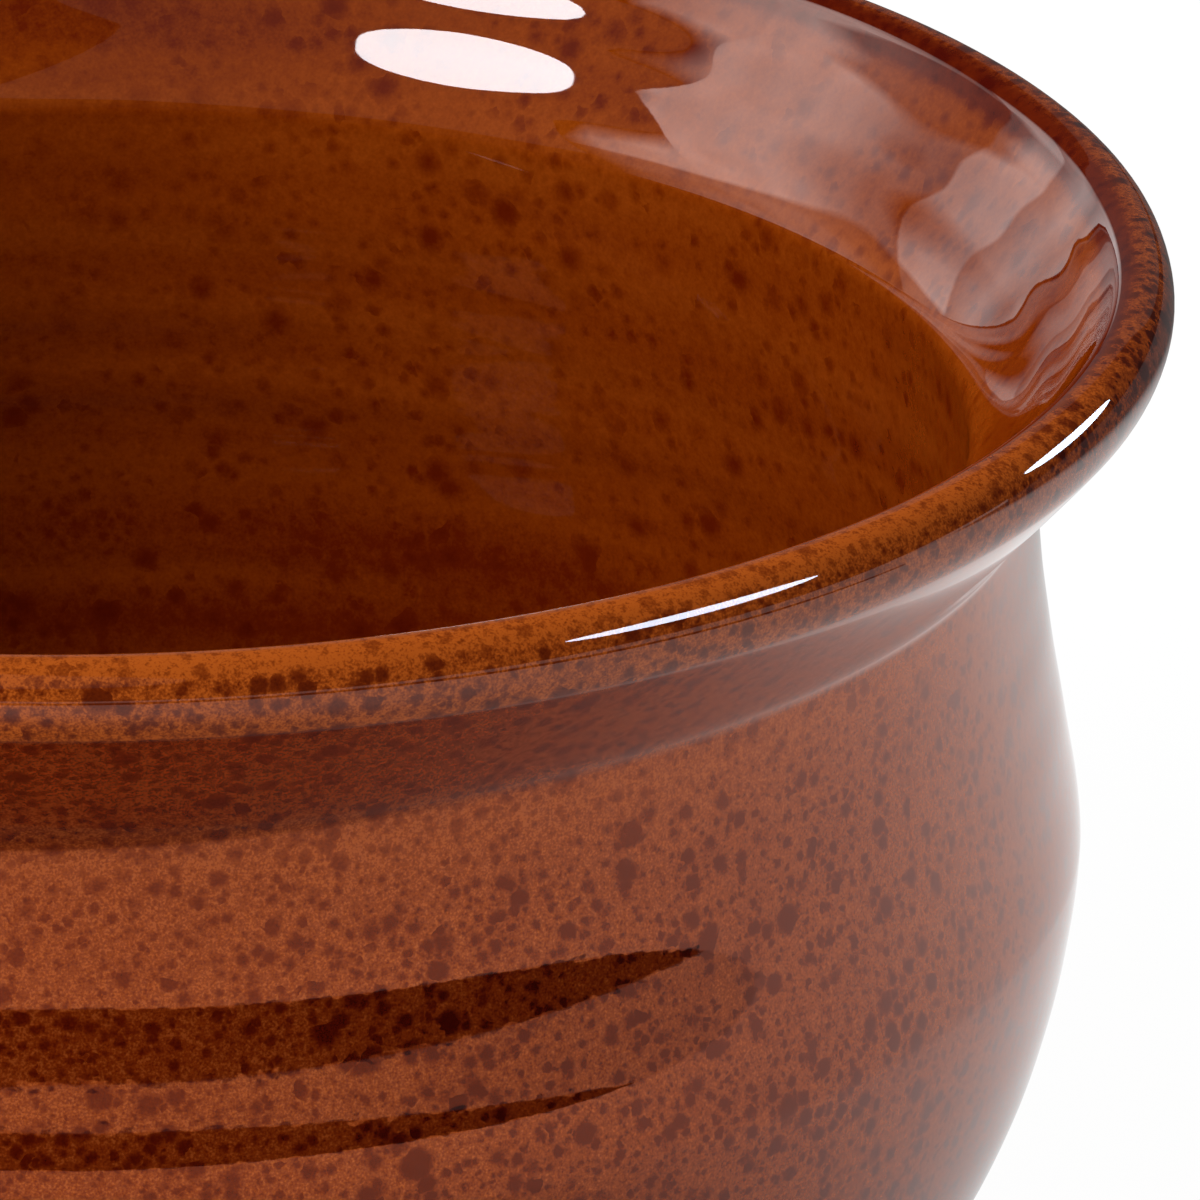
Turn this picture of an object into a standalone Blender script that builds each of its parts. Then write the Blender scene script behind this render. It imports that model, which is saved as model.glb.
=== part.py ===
# Cereal bowl: a thrown stoneware bowl with a rolled lip, drawn-in neck and turned foot ring,
# glazed inside, outside and under the floor, with the foot ring left bare.
import math

import bpy
from mathutils import Vector

# Driving dimensions, in metres. The foot ring stands on z = 0 and the bowl turns about Z.
RIM_RADIUS = 0.0700             # widest point of the lip
BOWL_HEIGHT = 0.0780            # table to the crest of the lip
LIP_RADIUS = 0.0022             # round over the top of the lip
LIP_DROP = 0.0034               # height of the fuller round below the lip's widest line
LIP_UNDER_ANGLE = 51.0          # degrees of that lower round before the flare takes over
LIP_INSIDE_ANGLE = 50.0         # degrees past the crest before the inner flare takes over
NECK_RADIUS = 0.0616            # outside, at its narrowest
NECK_DROP = 0.0150              # crest of the lip to the narrowest line outside
INNER_NECK_DROP = 0.0128        # crest of the lip to the narrowest line inside
SHOULDER_RADIUS = 0.0646        # outside, at the ridge below the neck
SHOULDER_DROP = 0.0372          # crest of the lip to the ridge
WALL = 0.0044                   # whole wall at the neck and shoulder, glaze included
FLOOR_HEIGHT = 0.0092           # table to the middle of the inside floor
FOOT_RADIUS = 0.0410            # outside of the foot ring
FOOT_HEIGHT = 0.0042            # table to the glaze line where the belly meets the foot
FOOT_WIDTH = 0.0055             # foot ring, from its outside to the well
FOOT_COVE = 0.0010              # how far the belly overhangs the foot at the glaze line
FOOT_EDGE = 0.0007              # chamfer on both edges of the standing face
BELLY_ANGLE = 78.0              # degrees from upright, where the belly reaches the foot
WELL_DEPTH = 0.0036             # table to the clay ceiling inside the foot ring
WELL_FILLET = 0.0018            # round between the foot ring and that ceiling
GLAZE = 0.0005                  # thickness of each glaze coat
BOND_GAP = 0.0003               # clearance between a coat and the clay, and between coats

# Pull of each curve's handles, as a share of the height or width that the curve spans
FLARE_PULL = 0.87               # lip to neck, outside
INNER_FLARE_PULL = 0.80         # lip to neck, inside
NECK_PULL = 0.50                # neck to shoulder, at the neck
SHOULDER_PULL = 0.08            # neck to shoulder, at the shoulder
BELLY_PULL = 0.116              # shoulder to foot, at the shoulder
FOOT_PULL = 0.965               # shoulder to foot, at the foot
FLOOR_PULL = 0.84               # inside floor to shoulder, at both ends

STEPS = 48                      # facets around the bowl
MERGE = 0.00001                 # joins the points that meet on the axis

LIP_CENTRE = Vector((RIM_RADIUS - LIP_RADIUS, BOWL_HEIGHT - LIP_RADIUS))
NECK = Vector((NECK_RADIUS, BOWL_HEIGHT - NECK_DROP))
SHOULDER = Vector((SHOULDER_RADIUS, BOWL_HEIGHT - SHOULDER_DROP))
INNER_NECK = Vector((NECK_RADIUS - WALL, BOWL_HEIGHT - INNER_NECK_DROP))
INNER_SHOULDER = Vector((SHOULDER_RADIUS - WALL, BOWL_HEIGHT - SHOULDER_DROP))
FLOOR = Vector((0.0, FLOOR_HEIGHT))
FOOT_ROOT = Vector((FOOT_RADIUS + FOOT_COVE, FOOT_HEIGHT))
WELL_RADIUS = FOOT_RADIUS - FOOT_WIDTH
# Half the angle at the crest that keeps the inside and outside coats apart
COAT_JOIN = math.degrees(math.asin(BOND_GAP / (2.0 * (LIP_RADIUS - GLAZE))))

UP = Vector((0.0, 1.0))
OUTWARD = Vector((1.0, 0.0))

# Colour, roughness: speckled brown glaze and bare fired stoneware
GLAZE_FINISH = ((0.19, 0.045, 0.008, 1.0), 0.08)
CLAY_FINISH = ((0.42, 0.27, 0.17, 1.0), 0.85)


def clear_scene():
    for old in list(bpy.data.objects):
        bpy.data.objects.remove(old, do_unlink=True)


def spot(point, run):
    # A profile point and its normal, which faces away from the clay on the right of the run
    run = run.normalized()
    return point, Vector((-run.y, run.x))


def run_at(path, index):
    # The direction in which a path passes one of its points
    normal = path[index][1]
    return Vector((normal.y, -normal.x))


def arc(centre, wide, tall, start, end, count):
    # Points on an ellipse from start to end, in degrees
    spots = []
    turn = math.copysign(1.0, end - start)
    for i in range(count + 1):
        angle = math.radians(start + (end - start) * i / count)
        point = centre + Vector((wide * math.cos(angle), tall * math.sin(angle)))
        run = Vector((-wide * math.sin(angle), tall * math.cos(angle))) * turn
        spots.append(spot(point, run))
    return spots


def bezier(start, start_handle, end_handle, end, count):
    # Points on a cubic curve, without the first, where the stretch before it ends
    spots = []
    for i in range(1, count + 1):
        t = i / count
        s = 1.0 - t
        point = (start * s ** 3 + start_handle * (3.0 * s * s * t)
                 + end_handle * (3.0 * s * t * t) + end * t ** 3)
        run = ((start_handle - start) * (s * s) + (end_handle - start_handle) * (2.0 * s * t)
               + (end - end_handle) * (t * t))
        spots.append(spot(point, run))
    return spots


def inside_path():
    # Middle of the floor, up the wall to the neck, and out along the flare to the crest
    rise = INNER_SHOULDER.y - FLOOR.y
    path = [spot(FLOOR, OUTWARD)]
    path += bezier(FLOOR, FLOOR + OUTWARD * INNER_SHOULDER.x * FLOOR_PULL,
                   INNER_SHOULDER - UP * rise * FLOOR_PULL, INNER_SHOULDER, 8)
    rise = INNER_NECK.y - INNER_SHOULDER.y
    path += bezier(INNER_SHOULDER, INNER_SHOULDER + UP * rise * SHOULDER_PULL,
                   INNER_NECK - UP * rise * NECK_PULL, INNER_NECK, 3)
    lip = arc(LIP_CENTRE, LIP_RADIUS, LIP_RADIUS, 90.0 + LIP_INSIDE_ANGLE, 90.0 + COAT_JOIN, 2)
    lip_start = lip[0][0]
    rise = lip_start.y - INNER_NECK.y
    path += bezier(INNER_NECK, INNER_NECK + UP * rise * (1.0 - INNER_FLARE_PULL),
                   lip_start - run_at(lip, 0) * rise * INNER_FLARE_PULL, lip_start, 4)
    return path + lip[1:]


def outside_path():
    # Crest of the lip, under the flare to the neck, over the shoulder and down the belly
    path = arc(LIP_CENTRE, LIP_RADIUS, LIP_RADIUS, 90.0 - COAT_JOIN, 0.0, 3)
    path += arc(LIP_CENTRE, LIP_RADIUS, LIP_DROP, 0.0, -LIP_UNDER_ANGLE, 2)[1:]
    lip_end = path[-1][0]
    fall = lip_end.y - NECK.y
    path += bezier(lip_end, lip_end + run_at(path, -1) * fall * FLARE_PULL,
                   NECK + UP * fall * (1.0 - FLARE_PULL), NECK, 4)
    fall = NECK.y - SHOULDER.y
    path += bezier(NECK, NECK - UP * fall * NECK_PULL,
                   SHOULDER + UP * fall * SHOULDER_PULL, SHOULDER, 4)
    lean = math.radians(BELLY_ANGLE)
    arrival = Vector((-math.sin(lean), -math.cos(lean)))
    fall = SHOULDER.y - FOOT_ROOT.y
    path += bezier(SHOULDER, SHOULDER - UP * fall * BELLY_PULL,
                   FOOT_ROOT - arrival * (SHOULDER.x - FOOT_ROOT.x) * FOOT_PULL, FOOT_ROOT, 7)
    return path


def well_path():
    # Up the fillet inside the foot ring, then in to the middle of the ceiling
    centre = Vector((WELL_RADIUS - WELL_FILLET, WELL_DEPTH - WELL_FILLET))
    path = arc(centre, WELL_FILLET, WELL_FILLET, 0.0, 90.0, 3)
    return path + [spot(UP * WELL_DEPTH, -OUTWARD)]


def foot_points():
    # The bare ring, from under the belly's overhang to the start of the well
    return [
        Vector((FOOT_RADIUS, FOOT_HEIGHT)),
        Vector((FOOT_RADIUS, FOOT_EDGE)),
        Vector((FOOT_RADIUS - FOOT_EDGE, 0.0)),
        Vector((WELL_RADIUS + FOOT_EDGE, 0.0)),
        Vector((WELL_RADIUS, FOOT_EDGE)),
    ]


def sunk(path, depth):
    # The path moved square to the surface, into the clay
    return [point - normal * depth for point, normal in path]


def clay_profile():
    under_coat = GLAZE + BOND_GAP
    return (sunk(inside_path(), under_coat) + sunk(outside_path(), under_coat)
            + foot_points() + sunk(well_path(), 0.0))


def coat_profile(path, depth):
    # A coat of glaze with its face at a depth below the path and its back one coat deeper.
    # Where the coat reaches the axis, its outline starts and ends there.
    face = sunk(path, depth)
    back = sunk(path, depth + GLAZE)[::-1]
    return face + back if face[0].x == 0.0 else back + face


def finish(name, colour, roughness):
    material = bpy.data.materials.new(name)
    material.use_nodes = True
    shader = material.node_tree.nodes["Principled BSDF"]
    shader.inputs["Base Color"].default_value = colour
    shader.inputs["Roughness"].default_value = roughness
    shader.inputs["Metallic"].default_value = 0.0
    return material


def turn(name, profile, look, collection):
    # One turned piece: a profile in the XZ plane, carried once around Z
    on_axis = profile[0].x == 0.0
    edges = [(i, i + 1) for i in range(len(profile) - 1)]
    if not on_axis:
        edges.append((len(profile) - 1, 0))
    mesh = bpy.data.meshes.new(name)
    mesh.from_pydata([(p.x, 0.0, p.y) for p in profile], edges, [])
    mesh.materials.append(finish(name, *look))
    piece = bpy.data.objects.new(name, mesh)
    collection.objects.link(piece)
    screw = piece.modifiers.new("turn", "SCREW")
    screw.axis = "Z"
    screw.angle = 2.0 * math.pi
    screw.steps = STEPS
    screw.render_steps = STEPS
    screw.use_merge_vertices = True
    screw.merge_threshold = MERGE
    screw.use_smooth_shade = True
    return piece


def main():
    clear_scene()
    bowl = bpy.data.collections.new("cereal_bowl")
    bpy.context.scene.collection.children.link(bowl)
    turn("stoneware_body", clay_profile(), CLAY_FINISH, bowl)
    turn("inside_glaze", coat_profile(inside_path(), 0.0), GLAZE_FINISH, bowl)
    turn("outside_glaze", coat_profile(outside_path(), 0.0), GLAZE_FINISH, bowl)
    turn("foot_well_glaze", coat_profile(well_path(), -BOND_GAP - GLAZE), GLAZE_FINISH, bowl)


main()
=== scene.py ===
# Speckled stoneware cereal bowl: its glaze and clay, the camera and the studio light
import math

import bmesh
import bpy
from mathutils import Matrix, Quaternion, Vector, noise


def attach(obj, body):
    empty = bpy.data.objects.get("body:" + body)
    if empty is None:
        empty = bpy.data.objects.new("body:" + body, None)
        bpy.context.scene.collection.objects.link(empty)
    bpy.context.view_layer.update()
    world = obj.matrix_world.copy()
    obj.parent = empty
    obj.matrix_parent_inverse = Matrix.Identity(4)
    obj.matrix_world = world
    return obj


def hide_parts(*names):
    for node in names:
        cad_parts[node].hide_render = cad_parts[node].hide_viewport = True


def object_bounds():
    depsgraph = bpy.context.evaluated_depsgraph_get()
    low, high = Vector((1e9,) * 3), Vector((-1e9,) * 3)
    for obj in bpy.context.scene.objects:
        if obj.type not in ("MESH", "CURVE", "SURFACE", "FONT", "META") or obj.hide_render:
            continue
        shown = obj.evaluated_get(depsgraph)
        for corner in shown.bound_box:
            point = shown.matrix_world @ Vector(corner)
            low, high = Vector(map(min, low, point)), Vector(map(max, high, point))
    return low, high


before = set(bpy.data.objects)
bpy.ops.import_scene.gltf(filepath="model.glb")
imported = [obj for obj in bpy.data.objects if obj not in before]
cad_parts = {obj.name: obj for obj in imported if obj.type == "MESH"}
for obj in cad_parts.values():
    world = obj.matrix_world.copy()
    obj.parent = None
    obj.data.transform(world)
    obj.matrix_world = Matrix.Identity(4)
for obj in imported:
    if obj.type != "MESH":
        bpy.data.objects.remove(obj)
cadLow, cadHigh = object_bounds()
print("frame loaded, nodes:", ", ".join(sorted(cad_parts)))

# The thrown form, in metres; drops are measured down from the crest of the lip
bowlForm = {
    "rimRadius": cadHigh.x,
    "height": cadHigh.z,
    "lipRadius": 0.0022,        # half the lip's thickness
    "lipRise": 0.0026,          # round from the lip's widest line up to its crest
    "lipDrop": 0.0032,          # fuller round below that line
    "lipUnderAngle": 51.0,
    "lipInsideAngle": 50.0,
    "neckRadius": 0.0615,
    "neckDrop": 0.0143,
    "innerNeckDrop": 0.0128,
    "shoulderRadius": 0.0646,
    "shoulderDrop": 0.0395,
    "wall": 0.0044,
    "floorHeight": 0.0092,
    "footRadius": 0.0410,
    "footHeight": 0.0042,
    "footWidth": 0.0055,
    "footCove": 0.0010,
    "footEdge": 0.0007,
    "bellyAngle": 78.0,
    "wellDepth": 0.0036,
    "wellFillet": 0.0018,
    "glaze": 0.0005,
    "bondGap": 0.0003,
    "flarePull": 0.87,
    "innerFlarePull": 0.80,
    "neckPull": 0.405,
    "shoulderPull": 0.164,
    "bellyPull": 0.020,
    "footPull": 0.970,
    "floorPull": 0.84,
    # The rolled end of the glaze: metres past the profile's end, and coats of depth
    "glazeRoll": [(0.00022, 0.15), (0.00036, 0.55), (0.00030, 1.1), (0.0001, 1.6)],
    "floorPoints": 44,          # points along each stretch of the profile
    "innerWallPoints": 24,
    "innerFlarePoints": 70,
    "innerLipPoints": 8,
    "lipPoints": 14,
    "underLipPoints": 8,
    "flarePoints": 24,
    "neckPoints": 40,
    "bellyPoints": 40,
    "wellPoints": 8,
    "backStride": 4,            # the glaze's hidden back takes one point in this many
    "steps": 256,               # facets around the glaze
    "claySteps": 128,           # and around the clay and the glaze in the well
    "weld": 0.000002,           # joins the points that meet on the axis and at the seam
}
up = Vector((0.0, 1.0))
outward = Vector((1.0, 0.0))


class Wire:
    # One output of a node: sums on it add Math nodes, and node() adds any other kind
    def __init__(self, tree, socket=None):
        self.tree = tree
        self.socket = socket

    def node(self, kind, settings=None, inputs=None, output=0):
        made = self.tree.nodes.new(kind)
        for name, value in (settings or {}).items():
            if name == "stops":
                setStops(made.color_ramp.elements, value)
            else:
                setattr(made, name, value)
        for name, value in (inputs or {}).items():
            if isinstance(value, Wire):
                self.tree.links.new(value.socket, made.inputs[name])
            else:
                made.inputs[name].default_value = value
        return Wire(self.tree, made.outputs[output] if len(made.outputs) else None)

    def sum(self, operation, first, second):
        return self.node("ShaderNodeMath", {"operation": operation}, {0: first, 1: second})

    def __add__(self, other):
        return self.sum("ADD", self, other)

    def __sub__(self, other):
        return self.sum("SUBTRACT", self, other)

    def __rsub__(self, other):
        return self.sum("SUBTRACT", other, self)

    def __mul__(self, other):
        return self.sum("MULTIPLY", self, other)

    __radd__ = __add__
    __rmul__ = __mul__

    def step(self, low, high):
        # 0 below low, 1 above high, and a soft rise between
        return self.node("ShaderNodeMapRange", {"interpolation_type": "SMOOTHSTEP"},
                         {"Value": self, "From Min": low, "From Max": high})

    def blend(self, first, second):
        # The first colour where this wire is 0, the second where it is 1; Mix has several sockets of
        # one name, so its colours go by number
        return self.node("ShaderNodeMix", {"data_type": "RGBA"}, {0: self, 6: first, 7: second}, 2)

    def also(self, output):
        # Another output of this wire's node
        return Wire(self.tree, self.socket.node.outputs[output])

    def most(self, other):
        return self.sum("MAXIMUM", self, other)

    def ramp(self, stops):
        return self.node("ShaderNodeValToRGB", {"stops": stops}, {0: self})

    def stretch(self, scale):
        return self.node("ShaderNodeMapping", None, {"Vector": self, "Scale": scale})

    def grain(self, scale, detail, roughness=0.5):
        # Cloudy noise on these coordinates, with its features about 1 / scale wide
        return self.node("ShaderNodeTexNoise", None, {"Vector": self, "Scale": scale, "Detail": detail,
                                                      "Roughness": roughness})

    def warped(self, scale, reach):
        # These coordinates pushed about by noise, over a span of reach
        push = self.grain(scale, 1.0).also("Color")
        return self.node("ShaderNodeVectorMath", {"operation": "MULTIPLY_ADD"},
                         {0: push, 1: (reach, reach, reach), 2: self})

    def spots(self, scale, spread, few, soft):
        # Spots of many sizes, up to spread - few cells in radius; cells with a low draw have none
        distance = self.node("ShaderNodeTexVoronoi", None, {"Vector": self, "Scale": scale}, "Distance")
        return (distance.also("Color") * spread - few - distance).step(-soft, soft)


def setStops(elements, stops):
    while len(elements) < len(stops):
        elements.new(1.0)
    for element, (place, colour) in zip(elements, stops):
        element.position = place
        element.color = colour


def newMaterial(name):
    material = bpy.data.materials.new(name)
    material.use_nodes = True
    material.node_tree.nodes.clear()
    return material, Wire(material.node_tree)


def bezier(start, startHandle, endHandle, end, count):
    # A cubic curve without its first point, where the stretch before it ends
    points = []
    for i in range(1, count + 1):
        t = i / count
        s = 1.0 - t
        points.append(start * s ** 3 + startHandle * (3.0 * s * s * t)
                      + endHandle * (3.0 * s * t * t) + end * t ** 3)
    return points


def arc(centre, wide, tall, start, end, count):
    # An ellipse from start to end, in degrees
    points = []
    for i in range(count + 1):
        angle = math.radians(start + (end - start) * i / count)
        points.append(centre + Vector((wide * math.cos(angle), tall * math.sin(angle))))
    return points


def arcRun(wide, tall, angle):
    # The direction of travel on that ellipse as the angle falls
    angle = math.radians(angle)
    return Vector((wide * math.sin(angle), -tall * math.cos(angle))).normalized()


def formPoint(radius, drop):
    return Vector((bowlForm["%sRadius" % radius], bowlForm["height"] - bowlForm["%sDrop" % drop]))


def lipCentre():
    form = bowlForm
    return Vector((form["rimRadius"] - form["lipRadius"], form["height"] - form["lipRise"]))


def insidePath():
    # Middle of the floor, up the wall to the neck, out along the flare and over to the crest
    form = bowlForm
    wall = outward * form["wall"]
    floor = up * form["floorHeight"]
    shoulder = formPoint("shoulder", "shoulder") - wall
    neck = formPoint("neck", "innerNeck") - wall
    rise = shoulder.y - floor.y
    path = [floor]
    path += bezier(floor, floor + outward * shoulder.x * form["floorPull"],
                   shoulder - up * rise * form["floorPull"], shoulder, form["floorPoints"])
    rise = neck.y - shoulder.y
    path += bezier(shoulder, shoulder + up * rise * form["shoulderPull"],
                   neck - up * rise * form["neckPull"], neck, form["innerWallPoints"])
    turn = 90.0 + form["lipInsideAngle"]
    lip = arc(lipCentre(), form["lipRadius"], form["lipRise"], turn, 90.0, form["innerLipPoints"])
    rise = lip[0].y - neck.y
    run = arcRun(form["lipRadius"], form["lipRise"], turn)
    path += bezier(neck, neck + up * rise * (1.0 - form["innerFlarePull"]),
                   lip[0] - run * rise * form["innerFlarePull"], lip[0], form["innerFlarePoints"])
    return path + lip[1:]


def outsidePath():
    # Crest of the lip, under the flare to the neck, over the shoulder and down to the foot
    form = bowlForm
    neck = formPoint("neck", "neck")
    shoulder = formPoint("shoulder", "shoulder")
    path = arc(lipCentre(), form["lipRadius"], form["lipRise"], 90.0, 0.0, form["lipPoints"])
    path += arc(lipCentre(), form["lipRadius"], form["lipDrop"], 0.0, -form["lipUnderAngle"],
                form["underLipPoints"])[1:]
    run = arcRun(form["lipRadius"], form["lipDrop"], -form["lipUnderAngle"])
    fall = path[-1].y - neck.y
    path += bezier(path[-1], path[-1] + run * fall * form["flarePull"],
                   neck + up * fall * (1.0 - form["flarePull"]), neck, form["flarePoints"])
    fall = neck.y - shoulder.y
    path += bezier(neck, neck - up * fall * form["neckPull"],
                   shoulder + up * fall * form["shoulderPull"], shoulder, form["neckPoints"])
    root = Vector((form["footRadius"] + form["footCove"], form["footHeight"]))
    lean = math.radians(form["bellyAngle"])
    arrival = Vector((-math.sin(lean), -math.cos(lean)))
    fall = shoulder.y - root.y
    path += bezier(shoulder, shoulder - up * fall * form["bellyPull"],
                   root - arrival * (shoulder.x - root.x) * form["footPull"], root, form["bellyPoints"])
    return path


def sunk(path, depth):
    # The path moved square to itself, away from its open side
    moved = []
    for i, point in enumerate(path):
        run = path[min(i + 1, len(path) - 1)] - path[max(i - 1, 0)]
        moved.append(point + Vector((run.y, -run.x)).normalized() * depth)
    return moved


def smooth(value, low, high):
    # 0 at low, 1 at high, and a soft rise between
    share = min(max((value - low) / (high - low), 0.0), 1.0)
    return share * share * (3.0 - 2.0 * share)


def between(value, rise, fall):
    # 1 from the end of the rise to the start of the fall, and 0 outside both
    return smooth(value, *rise) * (1.0 - smooth(value, *fall))


def hump(value, middle, width):
    return math.exp(-((value - middle) / width) ** 2)


def spun(name, profile, tags, steps, marks=None):
    # A profile of (radius, height) points turned once about Z; tags ride on its points
    bm = bmesh.new()
    layers = {tag: bm.verts.layers.float.new(tag) for tag in tags}
    verts = []
    for i, point in enumerate(profile):
        vert = bm.verts.new((point.x, 0.0, point.y))
        for tag, layer in layers.items():
            vert[layer] = tags[tag][i]
        verts.append(vert)
    edges = [bm.edges.new(pair) for pair in zip(verts, verts[1:])]
    if profile[0].x > 0.0:
        edges.append(bm.edges.new((verts[-1], verts[0])))
    bmesh.ops.spin(bm, geom=verts + edges, cent=(0.0, 0.0, 0.0), axis=(0.0, 0.0, 1.0),
                   angle=2.0 * math.pi, steps=steps, use_merge=True, use_duplicate=False)
    bmesh.ops.remove_doubles(bm, verts=bm.verts[:], dist=bowlForm["weld"])
    bmesh.ops.recalc_face_normals(bm, faces=bm.faces[:])
    if marks:
        marks(bm, layers)
    mesh = bpy.data.meshes.new(name)
    bm.to_mesh(mesh)
    bm.free()
    mesh.shade_smooth()
    piece = bpy.data.objects.new(name, mesh)
    bpy.context.scene.collection.objects.link(piece)
    print(name, "turned,", len(mesh.polygons), "faces")
    return piece


# Marks that the potter's hand left, in metres and degrees, where heading 0 faces the camera and 90 the
# right. A pair of numbers is where a soft step starts and ends, or a hump's middle and width, and two
# pairs are a rise and a fall
handMarks = {
    "flareHeight": 0.000061,    # rings that a finger left inside the flare
    "flarePitch": 0.00354,
    "flareMiddle": 0.00786,     # one of them faces up most here
    "lastPitch": 0.00420,       # the ring below that one is wider
    "flareDrops": ((0.0020, 0.0032), (0.0112, 0.0132)),
    "flareDeep": ((137.0, 150.0), (165.0, 179.0)),      # headings where they are deepest
    "flareLess": 0.2,           # share of that depth elsewhere
    "insideHeight": 0.000050,   # throwing rings down the inside
    "insidePitch": 0.0062,
    "insideDrops": (0.0130, 0.0200),
    "insideRadii": (0.012, 0.030),
    "wander": 0.0002,           # how far the finger's rings stray up and down
    "insideWander": 6.0,        # the throwing rings stray this many times as far
    "wanderAround": 1.7,        # how often they stray, around the bowl and down it
    "wanderDown": 40.0,
    "lipDent": 0.000060,        # the lip is thumbed flatter towards the right
    "dentDrop": (0.0017, 0.0008),
    "dentEdge": (0.0033, 0.0007),
    "dentEdgeShare": 0.3,
    "dentHeadings": ((0.0, 50.0), (110.0, 170.0)),
    "neckSag": 0.0012,          # the neck sits lower towards the left
    "sagDrop": (0.0143, 0.0025),
    "sagHeadings": ((-170.0, -100.0), (-10.0, 38.0)),
    "ridgeHeight": 0.000009,    # faint throwing ridges, outside on the right only
    "ridgePitch": 0.0058,
    "ridgeDrops": (0.017, 0.022),
    "ridgeHeadings": (48.0, 70.0),
    "glazeLine": 0.00030,       # how far the glaze line strays on the foot
    "glazeLineLift": 0.6,       # it strays more up than down
    "glazeLineReach": 0.0015,   # how far up the wall that carries
    "wallDrop": 0.0048,         # the wall's own glaze starts here
}


def insideMark(drop, heading, radius, stray):
    hand = handMarks
    deep = between(heading, *hand["flareDeep"])
    finger = hand["flareHeight"] * (hand["flareLess"] + (1.0 - hand["flareLess"]) * deep)
    finger *= between(drop, *hand["flareDrops"])
    below = drop - hand["flareMiddle"] + hand["wander"] * stray
    pitch = hand["flarePitch"] if below < 0.0 else hand["lastPitch"]
    finger *= math.sin(2.0 * math.pi * below / pitch)
    strayed = drop + hand["insideWander"] * hand["wander"] * stray
    thrown = hand["insideHeight"] * math.sin(2.0 * math.pi * strayed / hand["insidePitch"])
    thrown *= smooth(drop, *hand["insideDrops"]) * smooth(radius, *hand["insideRadii"])
    return finger + thrown


def outsideMark(drop, heading):
    # Along the surface's normal, then down
    hand = handMarks
    dent = hand["dentEdgeShare"] * hump(drop, *hand["dentEdge"]) - hump(drop, *hand["dentDrop"])
    dent *= hand["lipDent"] * between(heading, *hand["dentHeadings"])
    ridge = hand["ridgeHeight"] * math.sin(2.0 * math.pi * drop / hand["ridgePitch"])
    ridge *= smooth(drop, *hand["ridgeDrops"]) * smooth(heading, *hand["ridgeHeadings"])
    sag = hand["neckSag"] * hump(drop, *hand["sagDrop"]) * between(heading, *hand["sagHeadings"])
    return dent + ridge, sag


# How the glaze ran before it set, and where light and shade are painted on: above 0 it is lighter, below
# 0 darker. Turns are degrees around the lip's round, from its outside, and pairs are read as in handMarks
glazeRunAndPaintedLight = {
    "lipReach": (0.0032, 0.0042),   # the round ends this far from its middle
    "crestTurns": ((34.0, 54.0), (92.0, 112.0)),        # thin over the crest, and lighter there partly as painted light from behind
    "rollThick": 1.3,               # thick where the lip rolls in
    "rollTurns": (100.0, 122.0),
    "rollDrops": (0.0009, 0.0024),
    "innerNeckThin": 0.45,
    "innerNeckDrop": (0.0113, 0.0011),
    # painted shade, darker on the middle of the inner flare
    "innerFlarePaintedShade": 0.45,
    "innerFlareDrop": (0.0074, 0.0034),
    # darker further down inside
    "insideDarkerDown": 0.95,
    "insideDrops": (0.026, 0.058),
    # a lighter line around the neck
    "neckLighterLine": 0.45,
    "neckDrop": (0.0158, 0.0008),
    # painted light, lighter on the underside of the lip
    "underLipPaintedLight": 0.45,
    "flareDrop": (0.0090, 0.0040),
    "wallThick": 0.50,
    "wallDrops": (0.030, 0.044),
    "lipPool": 1.6,                 # thicker on the lip at the right
    "lipPoolHeadings": ((45.0, 85.0), (165.0, 180.0)),
    "lipPoolWithin": (0.0008, 0.0022),
    "lipPoolWithout": (0.0036, 0.0050),
    "frontPaintedShade": 0.7,               # a painted shade on the wall in front, to the right, where less light falls
    "frontPaintedShadeHeadings": ((4.0, 30.0), (45.0, 70.0)),
    "frontPaintedShadeDrops": ((0.017, 0.022), (0.034, 0.046)),
    "thickest": -1.5,
    "insideTurns": (78.0, 118.0),   # the inside's look takes over here
}


def lipTurn(point):
    # How far round the lip a point is, in degrees, and how far from the round's middle
    offset = point - lipCentre()
    return math.degrees(math.atan2(offset.y, offset.x)), offset.length


def insideTag(point):
    # 1 inside, 0 outside, changing over the crest
    return smooth(lipTurn(point)[0], *glazeRunAndPaintedLight["insideTurns"])


def thinAndPaintedLightTag(point, within):
    # How thin the glaze is, with the light and shade painted on it, the same all round
    run = glazeRunAndPaintedLight
    turn, reach = lipTurn(point)
    drop = bowlForm["height"] - point.y
    near = 1.0 - smooth(reach, *run["lipReach"])
    thin = near * between(turn, *run["crestTurns"])
    if within:
        roll = near * smooth(turn, *run["rollTurns"]) * (1.0 - smooth(drop, *run["rollDrops"]))
        thin -= run["rollThick"] * roll
        thin += run["innerNeckThin"] * hump(drop, *run["innerNeckDrop"])
        # Painted shade darkens the middle of the inner flare
        thin -= run["innerFlarePaintedShade"] * hump(drop, *run["innerFlareDrop"])
        return thin - run["insideDarkerDown"] * smooth(drop, *run["insideDrops"])
    thin += run["neckLighterLine"] * hump(drop, *run["neckDrop"])
    # Painted light brightens the underside of the lip
    thin += run["underLipPaintedLight"] * hump(drop, *run["flareDrop"])
    return thin - run["wallThick"] * smooth(drop, *run["wallDrops"])


def pooledAndPaintedShade(drop, heading, within):
    # How much thicker the glaze lies on the lip at the right, and how much painted shade darkens the wall
    # in front
    run = glazeRunAndPaintedLight
    lip = run["lipPool"] * between(heading, *run["lipPoolHeadings"])
    if within:
        return lip * (1.0 - smooth(drop, *run["lipPoolWithin"]))
    front = run["frontPaintedShade"] * between(heading, *run["frontPaintedShadeHeadings"])
    front *= between(drop, *run["frontPaintedShadeDrops"])
    return lip * (1.0 - smooth(drop, *run["lipPoolWithout"])) + front


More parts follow.
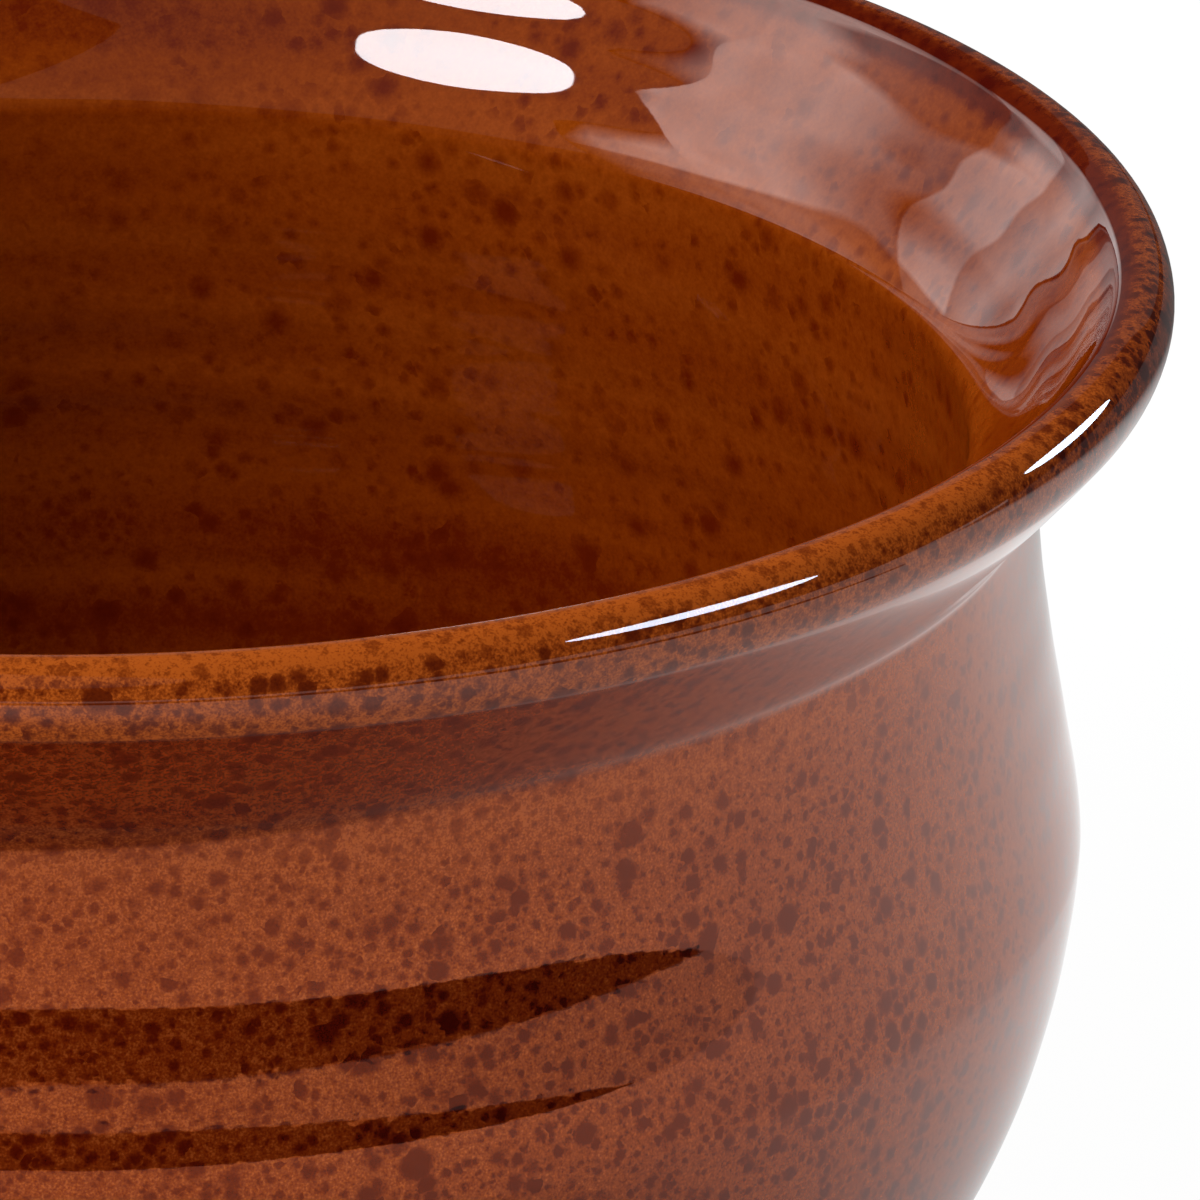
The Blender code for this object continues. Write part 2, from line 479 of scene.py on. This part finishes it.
def leaveMarks(bm, layers):
    # Rings inside, an uneven lip and neck, pooled glaze, painted shade on the wall in front and a
    # wavering glaze line above the foot
    form = bowlForm
    hand = handMarks
    inside = layers["inside"]
    thin = layers["thin"]
    bm.normal_update()
    moves = []
    for vert in bm.verts:
        drop = form["height"] - vert.co.z
        radius = math.hypot(vert.co.x, vert.co.y)
        around = Vector((vert.co.x, vert.co.y, 0.0)) * (1.0 / max(radius, form["weld"]))
        heading = math.degrees(math.atan2(vert.co.x, -vert.co.y))
        down = Vector((0.0, 0.0, drop * hand["wanderDown"]))
        stray = noise.noise(around * hand["wanderAround"] + down)
        poolAndShade = pooledAndPaintedShade(drop, heading, vert[inside] > 0.5)
        vert[thin] = min(max(vert[thin] - poolAndShade, glazeRunAndPaintedLight["thickest"]), vert[thin])
        if vert[inside] > 0.0:
            moves.append((vert, vert.normal * insideMark(drop, heading, radius, stray)))
            continue
        swell, sag = outsideMark(drop, heading)
        line = 1.0 - smooth(vert.co.z, form["footHeight"], form["footHeight"] + hand["glazeLineReach"])
        lift = hand["glazeLine"] * line * (stray + hand["glazeLineLift"]) - sag
        moves.append((vert, vert.normal * swell + Vector((0.0, 0.0, lift))))
    for vert, move in moves:
        vert.co += move
    for face in bm.faces:
        onWall = face.calc_center_median().z < form["height"] - hand["wallDrop"]
        if onWall and max(vert[inside] for vert in face.verts) == 0.0:
            face.material_index = 1


def glazeSkin():
    # Both coats in one skin over the lip, ending in a rolled edge above the foot
    form = bowlForm
    inside = insidePath()
    outside = outsidePath()[1:]
    face = inside + outside
    run = (face[-1] - face[-2]).normalized()
    depth = Vector((run.y, -run.x)) * form["glaze"]
    roll = [face[-1] + run * along + depth * deep for along, deep in form["glazeRoll"]]
    back = sunk(face, form["glaze"])[::-form["backStride"]]
    back.append(up * (form["floorHeight"] - form["glaze"]))
    hidden = [0.0] * (len(roll) + len(back))
    turning = len(inside) - form["innerLipPoints"] - 1      # where the lip's round starts
    thin = [thinAndPaintedLightTag(point, True) for point in inside] + [thinAndPaintedLightTag(point, False) for point in outside]
    tags = {
        "inside": [1.0] * turning + [insideTag(point) for point in face[turning:]] + hidden,
        "thin": thin + hidden,
    }
    return spun("speckled_glaze", face + roll + back, tags, form["steps"], leaveMarks)


def wellCeiling():
    form = bowlForm
    well = form["footRadius"] - form["footWidth"]
    fillet = Vector((well - form["wellFillet"], form["wellDepth"] - form["wellFillet"]))
    corner = arc(fillet, form["wellFillet"], form["wellFillet"], 0.0, 90.0, form["wellPoints"])
    return corner + [up * form["wellDepth"]]


def clayBody():
    form = bowlForm
    well = form["footRadius"] - form["footWidth"]
    coat = sunk(insidePath() + outsidePath()[1:], form["glaze"] + form["bondGap"])
    coat[0].x = 0.0
    foot = [
        Vector((form["footRadius"], form["footHeight"])),
        Vector((form["footRadius"], form["footEdge"])),
        Vector((form["footRadius"] - form["footEdge"], 0.0)),
        Vector((well + form["footEdge"], 0.0)),
        Vector((well, form["footEdge"])),
    ]
    return spun("turned_clay", coat + foot + wellCeiling(), {}, form["claySteps"])


def wellGlaze():
    form = bowlForm
    face = sunk(wellCeiling(), -form["glaze"] - form["bondGap"])
    back = sunk(wellCeiling(), -form["bondGap"])
    face[-1].x = 0.0
    back[-1].x = 0.0
    return spun("well_glaze", back[::-1] + face, {}, form["claySteps"])


# Two finishes of one glaze: the wall's is richer in iron, so its gloss is warm, and weaker on the specks
wallGlaze = {
    "tones": [(0.00, (0.030, 0.0005, 0.0001, 1.0)),     # dark iron speck
              (0.25, (0.066, 0.0036, 0.0003, 1.0)),
              (0.50, (0.112, 0.0105, 0.0006, 1.0)),
              (0.75, (0.158, 0.0190, 0.0014, 1.0)),     # brown ground
              (1.00, (0.240, 0.0420, 0.0065, 1.0))],    # thin amber
    "groundGloss": {"IOR": 2.42, "Specular Tint": (1.0, 0.245, 0.060, 1.0)},
    "speckGloss": {"IOR": 1.86, "Specular Tint": (1.0, 0.150, 0.020, 1.0)},
    "gloss": {"Roughness": 0.012, "Coat Roughness": 0.012},
    "clearCoat": (0.21, 0.34),  # on the left and on the right
    "coatAcross": (0.0, 0.05),  # it changes over this stretch of X
    "peel": 0.0000011,          # depth of the glaze's fine unevenness
    "peelGrain": 1500.0,
}
rimGlaze = {
    "tones": [(0.00, (0.045, 0.0025, 0.0003, 1.0)),
              (0.35, (0.128, 0.0150, 0.0013, 1.0)),
              (0.65, (0.232, 0.0380, 0.0036, 1.0)),
              (1.00, (0.430, 0.0870, 0.0090, 1.0))],    # thin amber on the crest, partly painted light
    "insideTones": [(0.00, (0.066, 0.0024, 0.0002, 1.0)),
                    (0.35, (0.126, 0.0105, 0.0004, 1.0)),
                    (0.65, (0.226, 0.0335, 0.0010, 1.0)),    # clear amber ground
                    (1.00, (0.350, 0.0680, 0.0050, 1.0))],
    "gloss": {"Roughness": 0.02, "IOR": 1.56, "Specular Tint": (1.0, 0.72, 0.64, 1.0)},
    "peel": 0.0000004,
    "peelGrain": 1500.0,
}
# What clouds and speckles them: noise as its features per metre and its amount, and specks as their
# cells per metre, spread, few, softness and amount
outsideSpeckle = {
    "ground": 0.76,             # how light it is between the specks
    "grit": [(6500.0, 1.10), (2600.0, 0.70), (330.0, 0.25)],
    "specks": [((430.0, 0.80, 0.30, 0.14), 0.75),
               ((760.0, 0.80, 0.20, 0.18), 0.75),
               ((1400.0, 0.80, 0.18, 0.24), 0.65)],
    "edges": (1900.0, 0.0005),  # what makes the specks' edges uneven
    "speckDepth": 0.90,
    "speckThin": 0.30,          # less of that where the glaze is thin and where light is painted on
    "thin": 0.22,
}
insideSpeckle = {
    "ground": 0.66,
    "grit": [(5000.0, 0.25), (1700.0, 0.25)],
    "rings": (14.0, 14.0, 300.0),   # features per metre around and down
    "ringDetail": 1.5,
    "ringAmount": 0.50,
    "broad": 45.0,
    "broadAmount": 0.20,
    "clouds": (250.0, 0.8),
    "patches": (-0.10, 0.65),   # the specks come in patches, where clouds and broad noise are high
    "specks": [((400.0, 0.80, 0.30, 0.30), 0.9),
               ((820.0, 0.80, 0.24, 0.34), 0.7)],
    "edges": (1900.0, 0.0005),
    "speckDepth": 0.58,
    "thin": 0.28,
}


def tagged(tree, name):
    return tree.node("ShaderNodeAttribute", {"attribute_name": name}, None, 2)


def cloudy(place, scale, amount=1.0):
    # Noise about 0, half of amount to either side
    return (place.grain(scale, 1.0) - 0.5) * amount


def speckled(place, look):
    # 0 on the ground, towards 1 in a speck; where two overlap, the darker one shows
    uneven = place.warped(*look["edges"])
    layers = [uneven.spots(*shape) * amount for shape, amount in look["specks"]]
    darkest = layers[0]
    for layer in layers[1:]:
        darkest = darkest.most(layer)
    return darkest


def outsideTone(place, thin):
    # How light the outside glaze is: 0 in an iron speck, about 0.7 on the ground, 1 where it is thin and
    # where light is painted on
    look = outsideSpeckle
    ground = look["ground"]
    for scale, amount in look["grit"]:
        ground = ground + cloudy(place, scale, amount)
    specks = speckled(place, look) * (look["speckDepth"] - thin * look["speckThin"])
    return ground * (1.0 - specks) + thin * look["thin"]


def insideTone(place, thin):
    # The same inside, where the specks are fainter and faint throwing rings show
    look = insideSpeckle
    broad = cloudy(place, look["broad"])
    rings = place.stretch(look["rings"]).grain(1.0, look["ringDetail"]) - 0.5
    ground = look["ground"] + rings * look["ringAmount"] + broad * look["broadAmount"]
    for scale, amount in look["grit"]:
        ground = ground + cloudy(place, scale, amount)
    patchy = (cloudy(place, *look["clouds"]) + broad + 0.5).step(*look["patches"])
    specks = speckled(place, look) * patchy * look["speckDepth"]
    return ground * (1.0 - specks) + thin * look["thin"]


def orangePeel(place, look):
    return place.node("ShaderNodeBump", None, {"Strength": 1.0, "Distance": look["peel"],
                                               "Height": place.grain(look["peelGrain"], 0.0)})


def wallMaterial():
    material, tree = newMaterial("speckled_wall_glaze")
    place = tree.node("ShaderNodeTexCoord", output="Object")
    tone = outsideTone(place, tagged(tree, "thin"))
    left, right = wallGlaze["clearCoat"]
    across = tree.node("ShaderNodeSeparateXYZ", None, {0: place}).step(*wallGlaze["coatAcross"])
    finish = {"Base Color": tone.ramp(wallGlaze["tones"]),
              "Coat Weight": across * (right - left) + left,
              "Normal": orangePeel(place, wallGlaze)} | wallGlaze["gloss"]
    ground = tree.node("ShaderNodeBsdfPrincipled", None, finish | wallGlaze["groundGloss"])
    speck = tree.node("ShaderNodeBsdfPrincipled", None, finish | wallGlaze["speckGloss"])
    both = tree.node("ShaderNodeMixShader", None, {0: tone.step(0.0, 1.0), 1: speck, 2: ground})
    tree.node("ShaderNodeOutputMaterial", None, {"Surface": both})
    return material


def rimMaterial():
    material, tree = newMaterial("speckled_brown_glaze")
    place = tree.node("ShaderNodeTexCoord", output="Object")
    thin = tagged(tree, "thin")
    outer = outsideTone(place, thin).ramp(rimGlaze["tones"])
    inner = insideTone(place, thin).ramp(rimGlaze["insideTones"])
    shader = tree.node("ShaderNodeBsdfPrincipled", None, {
        "Base Color": tagged(tree, "inside").blend(outer, inner),
        "Normal": orangePeel(place, rimGlaze)} | rimGlaze["gloss"])
    tree.node("ShaderNodeOutputMaterial", None, {"Surface": shader})
    return material


bareClay = {
    "sand": (1600.0, 3.0, 0.6),     # grains per metre, detail and roughness of the noise
    "sandRange": (0.35, 0.65),
    "dark": (0.46, 0.23, 0.12, 1.0),
    "light": (0.62, 0.37, 0.22, 1.0),
    "relief": 0.00008,
    "roughness": 0.85,
}


def clayMaterial():
    material, tree = newMaterial("bare_stoneware")
    place = tree.node("ShaderNodeTexCoord", output="Object")
    sand = place.grain(*bareClay["sand"])
    colour = sand.step(*bareClay["sandRange"]).blend(bareClay["dark"], bareClay["light"])
    relief = tree.node("ShaderNodeBump", None, {
        "Strength": 1.0, "Distance": bareClay["relief"], "Height": sand})
    shader = tree.node("ShaderNodeBsdfPrincipled", None, {
        "Base Color": colour, "Roughness": bareClay["roughness"], "Normal": relief})
    tree.node("ShaderNodeOutputMaterial", None, {"Surface": shader})
    return material


def dress(piece, materials, slot, *nodes):
    for material in materials:
        piece.data.materials.append(material)
    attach(piece, "root")
    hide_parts(*nodes)


wallFinish = wallMaterial()
dress(glazeSkin(), [rimMaterial(), wallFinish], "glaze", "inside_glaze", "outside_glaze")
dress(wellGlaze(), [wallFinish], "glaze", "foot_well_glaze")
dress(clayBody(), [clayMaterial()], "bare_clay", "stoneware_body")

# The studio: a white table with a round front, in a dim room with soft lights
table = {
    "side": 0.355,              # half the width of the round front
    "front": 0.500,             # how far it comes out from the bowl
    "fullness": 2.3,            # 2 is an ellipse, more has fuller corners
    "segments": 96,
    "frontEnd": -0.001,         # behind this the table runs on, out of view
    "widen": 6.0,
    "colour": (0.82, 0.82, 0.82, 1.0),
    "white": 1.02,              # to the camera
    "keepShadow": 0.06,         # share of its own shading that the camera sees
    "paintedReflectionLeft": 0.95,         # painted brightness that the gloss sees, lighter on the right, with a painted soft shadow that falls to the left
    "paintedReflectionRight": 1.15,
    "paintedReflectionAcross": (0.0, 0.30),
    "paintedReflectionBehind": 0.12,       # share of that painted brightness that is left behind the bowl
    "paintedReflectionFade": (0.10, 0.20),
    "openUnder": 0.0405,        # open below the foot ring, so that the underside has light
    # A painted shadow in the glow that the gloss sees, darkest near the bowl and to its left
    "paintedShadowMiddle": (-0.06, -0.05, 0.0),
    "paintedShadowEdge": (0.060, 0.190),
    "paintedShadowDepth": 0.90,
}


def stagePiece(name, bm, material):
    mesh = bpy.data.meshes.new(name)
    bm.to_mesh(mesh)
    bm.free()
    mesh.materials.append(material)
    piece = bpy.data.objects.new(name, mesh)
    bpy.context.scene.collection.objects.link(piece)
    return piece


def whiteTable():
    bm = bmesh.new()
    bmesh.ops.create_circle(bm, cap_ends=True, segments=table["segments"], radius=1.0)
    full = table["fullness"]
    for vert in bm.verts:
        vert.co *= (abs(vert.co.x) ** full + abs(vert.co.y) ** full) ** (-1.0 / full)
    bmesh.ops.scale(bm, vec=(table["side"], table["front"], 1.0), verts=bm.verts[:])
    behind = [vert for vert in bm.verts if vert.co.y > table["frontEnd"]]
    bmesh.ops.scale(bm, vec=(table["widen"], table["widen"], 1.0), verts=behind)
    material, tree = newMaterial("white_table")
    place = tree.node("ShaderNodeTexCoord", output="Object")
    across = tree.node("ShaderNodeSeparateXYZ", None, {0: place})
    # The gloss sees a painted table: a glow that is lighter on the right and dimmer behind the bowl, with
    # a painted shadow near it
    away = tree.node("ShaderNodeVectorMath", {"operation": "DISTANCE"},
                     {0: place, 1: table["paintedShadowMiddle"]}, "Value")
    paintedShadowLit = away.step(*table["paintedShadowEdge"]) * table["paintedShadowDepth"] + (1.0 - table["paintedShadowDepth"])
    right = across.step(*table["paintedReflectionAcross"])
    paintedReflection = right * (table["paintedReflectionRight"] - table["paintedReflectionLeft"]) + table["paintedReflectionLeft"]
    fade = across.also("Y").step(*table["paintedReflectionFade"])
    paintedReflection = paintedReflection * (1.0 - fade * (1.0 - table["paintedReflectionBehind"]))
    seen = tree.node("ShaderNodeLightPath", output="Is Camera Ray")
    gloss = tree.node("ShaderNodeLightPath", output="Is Glossy Ray")
    middle = tree.node("ShaderNodeVectorMath", {"operation": "LENGTH"}, {0: place}, "Value")
    under = tree.node("ShaderNodeNewGeometry", output="Backfacing")
    under = under.most(tree.sum("LESS_THAN", middle, table["openUnder"]))
    matt = tree.node("ShaderNodeBsdfDiffuse", None, {"Color": table["colour"]})
    white = tree.node("ShaderNodeEmission", None, {"Color": seen * table["white"] + gloss * paintedReflection * paintedShadowLit})
    share = seen * (1.0 - table["keepShadow"]) + gloss
    top = tree.node("ShaderNodeMixShader", None, {0: share, 1: matt, 2: white})
    clear = tree.node("ShaderNodeBsdfTransparent")
    surface = tree.node("ShaderNodeMixShader", None, {0: under, 1: top, 2: clear})
    tree.node("ShaderNodeOutputMaterial", None, {"Surface": surface})
    stagePiece("table", bm, material)


def lookingOut(heading, height):
    # The direction of a heading (0 towards the camera, 90 right) and a height, in degrees
    around = math.radians(heading)
    rise = math.radians(height)
    return Vector((math.sin(around) * math.cos(rise), -math.cos(around) * math.cos(rise), math.sin(rise)))


# The far wall of the room as a painted reflection: a glowing pale ribbon that only the gloss sees, whose
# lower edge comes down to the table on the right
farWall = {
    "away": 1.54,
    "headings": range(-80, 110, 4),
    "edge": -3.72,              # height of its lower edge, which falls from this heading on
    "fallFrom": 2.0,
    "fall": 0.00105,
    "fallPower": 1.95,
    "top": 0.3,
    "radiance": 0.85,
}
# Sloping windows on the left and behind as a painted reflection, glowing panes that only the gloss sees,
# seen from the lip: heading, lower and upper edge, radiance
leftWindow = {
    "panes": [(-76.0, 36.0, 42.0, 0.0), (-82.0, 33.0, 43.0, 2.4), (-94.0, 30.5, 43.0, 3.8),
              (-97.0, 30.0, 43.0, 4.0), (-97.6, 30.0, 51.0, 4.5), (-106.0, 29.0, 49.0, 4.5),
              (-116.0, 27.0, 45.0, 3.2), (-122.0, 25.5, 40.0, 1.8), (-126.0, 23.0, 34.0, 1.0),
              (-131.0, 17.5, 26.0, 0.7), (-131.6, 17.0, 26.0, 2.2), (-137.0, 11.5, 23.0, 2.1),
              (-142.0, 8.0, 20.0, 1.9), (-142.6, 7.5, 20.0, 0.9), (-148.0, 3.0, 16.0, 1.6),
              (-152.0, -1.0, 12.0, 0.9), (-160.0, -6.0, 8.0, 1.6), (-174.0, -13.0, 3.0, 0.0)],
    "edge": 2.0,                # degrees over which a pane fades in at its foot
    "topEdge": 4.0,             # and out at its top
    "below": 0.3,               # share of its radiance on the pale wall under it
    "wallLeast": 12.0,          # least height of that wall
    "floorEdge": -10.0,         # it comes down to here, or further
    "away": 1.5,
    "mottle": 0.5,              # amount of the broad and fine painted shapes in the panes' glow
    "broadShapes": (2.6, 2.0),
    "fineShapes": (9.0, 1.0),
    "fineShare": 0.35,
}


def glowMaterial(name, radiance):
    material, tree = newMaterial(name)
    glow = tree.node("ShaderNodeEmission", None, {"Strength": radiance})
    tree.node("ShaderNodeOutputMaterial", None, {"Surface": glow})
    return material


def roomWall():
    eye = Vector((0.0, -bowlForm["shoulderRadius"], bowlForm["height"] - bowlForm["shoulderDrop"]))
    bm = bmesh.new()
    lower = []
    for heading in farWall["headings"]:
        fall = farWall["fall"] * max(heading - farWall["fallFrom"], 0.0) ** farWall["fallPower"]
        lower.append(bm.verts.new(eye + lookingOut(heading, farWall["edge"] - fall) * farWall["away"]))
    edges = [bm.edges.new(pair) for pair in zip(lower, lower[1:])]
    upper = bmesh.ops.extrude_edge_only(bm, edges=edges)["geom"]
    top = eye.z + farWall["away"] * math.tan(math.radians(farWall["top"]))
    for vert in upper:
        if isinstance(vert, bmesh.types.BMVert):
            vert.co.z = top
    glossOnly(stagePiece("far_wall", bm, glowMaterial("far_wall_glow", farWall["radiance"])))


def glossOnly(piece):
    # Seen in the glaze, but neither by the camera nor as light
    piece.visible_camera = False
    piece.visible_diffuse = False


def windowGlow():
    material, tree = newMaterial("window_glow")
    place = tree.node("ShaderNodeTexCoord", output="Object")
    fine = leftWindow["fineShare"]
    shapes = place.grain(*leftWindow["broadShapes"]) + place.grain(*leftWindow["fineShapes"]) * fine
    shapes = shapes - 0.5 * (1.0 + fine)
    level = tagged(tree, "glow") * (1.0 + shapes * (2.0 * leftWindow["mottle"]))
    glow = tree.node("ShaderNodeEmission", None, {"Color": level})
    tree.node("ShaderNodeOutputMaterial", None, {"Surface": glow})
    return material


def paneLevels(lower, upper):
    # Heights from the floor up, each with its share of the pane's radiance
    edge = leftWindow["edge"]
    floor = min(lower - leftWindow["wallLeast"], leftWindow["floorEdge"])
    below = leftWindow["below"]
    return [(floor - edge, 0.0), (floor, below), (lower, below), (lower + edge, 1.0),
            (upper - leftWindow["topEdge"], 1.0), (upper, 0.0)]


def sideWindow():
    eye = Vector((0.0, 0.0, bowlForm["height"]))
    bm = bmesh.new()
    glow = bm.verts.layers.float.new("glow")
    columns = []
    for heading, lower, upper, radiance in leftWindow["panes"]:
        column = []
        for height, share in paneLevels(lower, upper):
            vert = bm.verts.new(eye + lookingOut(heading, height) * leftWindow["away"])
            vert[glow] = radiance * share
            column.append(vert)
        columns.append([bm.edges.new(pair) for pair in zip(column, column[1:])])
    for nearer, further in zip(columns, columns[1:]):
        bmesh.ops.bridge_loops(bm, edges=nearer + further)
    glossOnly(stagePiece("left_window", bm, windowGlow()))


# Light that the world sends: white to the camera, dim to the gloss, an even fill to the rest
roomLight = {"white": 1.02, "gloss": 0.03, "fill": 0.42}


def studioWorld():
    world = bpy.data.worlds.new("studio")
    bpy.context.scene.world = world
    world.use_nodes = True
    world.node_tree.nodes.clear()
    world.cycles.sampling_method = "NONE"
    tree = Wire(world.node_tree)
    seen = tree.node("ShaderNodeLightPath", output="Is Camera Ray")
    gloss = tree.node("ShaderNodeLightPath", output="Is Glossy Ray")
    fill = roomLight["fill"]
    level = gloss * (roomLight["gloss"] - fill) + seen * (roomLight["white"] - fill) + fill
    back = tree.node("ShaderNodeBackground", None, {"Color": level})
    tree.node("ShaderNodeOutputWorld", None, {"Surface": back})


# Each light as it is seen from the lip: heading (0 towards the camera, 90 right), height, spread and
# radiance; the gloss sees some of them, and the others only fill
lights = {
    "left_softbox": {"heading": -81.5, "height": 61.2, "wide": 28.3, "tall": 17.8, "roll": -30.0,
                     "away": 1.3, "radiance": 26.0, "colour": (0.64, 0.87, 1.0), "gloss": True},
    "right_strip": {"heading": 66.0, "height": 20.5, "wide": 28.0, "tall": 12.0, "roll": -16.0,
                    "away": 1.4, "radiance": 32.0, "colour": (0.50, 0.74, 1.0), "gloss": True},
    "rear_strip": {"heading": 121.0, "height": 12.5, "wide": 18.0, "tall": 11.0, "roll": -10.0,
                   "away": 1.4, "radiance": 32.0, "colour": (0.50, 0.74, 1.0), "gloss": True},
    "rear_panel": {"heading": 180.0, "height": 14.0, "wide": 60.0, "tall": 28.0, "roll": 0.0,
                   "away": 2.0, "radiance": 0.10, "colour": (1.0, 1.0, 1.0), "gloss": True},
    "left_panel": {"heading": -45.0, "height": 50.0, "wide": 84.0, "tall": 44.0, "roll": 0.0,
                   "away": 2.0, "radiance": 0.22, "colour": (1.0, 1.0, 1.0), "gloss": True},
    "left_fill": {"heading": -60.0, "height": 34.0, "wide": 40.0, "tall": 36.0, "roll": 0.0,
                  "away": 1.6, "radiance": 7.4, "colour": (1.0, 1.0, 1.0), "gloss": False},
    "rear_key": {"heading": 170.0, "height": 40.0, "wide": 20.0, "tall": 20.0, "roll": 0.0,
                 "away": 1.6, "radiance": 14.0, "colour": (1.0, 1.0, 1.0), "gloss": False},
}


def softLight(name, look, target):
    towards = lookingOut(look["heading"], look["height"])
    lamp = bpy.data.lights.new(name, "AREA")
    lamp.shape = "ELLIPSE"
    lamp.color = look["colour"]
    lamp.size = 2.0 * look["away"] * math.tan(math.radians(look["wide"] / 2.0))
    lamp.size_y = 2.0 * look["away"] * math.tan(math.radians(look["tall"] / 2.0))
    lamp.energy = look["radiance"] * math.pi * lamp.size * lamp.size_y * math.pi / 4.0
    holder = bpy.data.objects.new(name, lamp)
    holder.location = target + towards * look["away"]
    roll = Quaternion((0.0, 0.0, 1.0), math.radians(look["roll"]))
    holder.rotation_euler = ((-towards).to_track_quat("-Z", "Y") @ roll).to_euler()
    holder.visible_camera = False
    holder.visible_glossy = look["gloss"]
    holder.visible_diffuse = not look["gloss"]
    bpy.context.scene.collection.objects.link(holder)


whiteTable()
roomWall()
sideWindow()
studioWorld()
lipHeight = Vector((0.0, 0.0, bowlForm["height"]))
for name, look in lights.items():
    softLight(name, look, lipHeight)
print("studio lit by", len(lights), "lights")

# The photograph's view, placed from the middle of the lip
camera = {
    "distance": 1.12,
    "elevation": 21.331,
    "pitch": 22.356,            # looking down
    "yaw": 1.85,                # turned to the right
    "roll": 0.275,
    "lens": 529.67,             # in millimetres, on a sensor this wide
    "sensor": 36.0,
    "clip": (0.01, 20.0),
}


def addCamera():
    place = Vector((0.0, 0.0, lipCentre().y)) + lookingOut(0.0, camera["elevation"]) * camera["distance"]
    data = bpy.data.cameras.new("camera")
    data.lens = camera["lens"]
    data.sensor_width = camera["sensor"]
    data.clip_start, data.clip_end = camera["clip"]
    holder = bpy.data.objects.new("camera", data)
    holder.matrix_world = (Matrix.Translation(place)
                           @ Matrix.Rotation(-math.radians(camera["yaw"]), 4, "Z")
                           @ Matrix.Rotation(math.radians(90.0 - camera["pitch"]), 4, "X")
                           @ Matrix.Rotation(math.radians(camera["roll"]), 4, "Z"))
    bpy.context.scene.collection.objects.link(holder)
    bpy.context.scene.camera = holder


addCamera()
bpy.context.scene.view_settings.view_transform = "Standard"
print("camera placed")

bpy.context.view_layer.update()
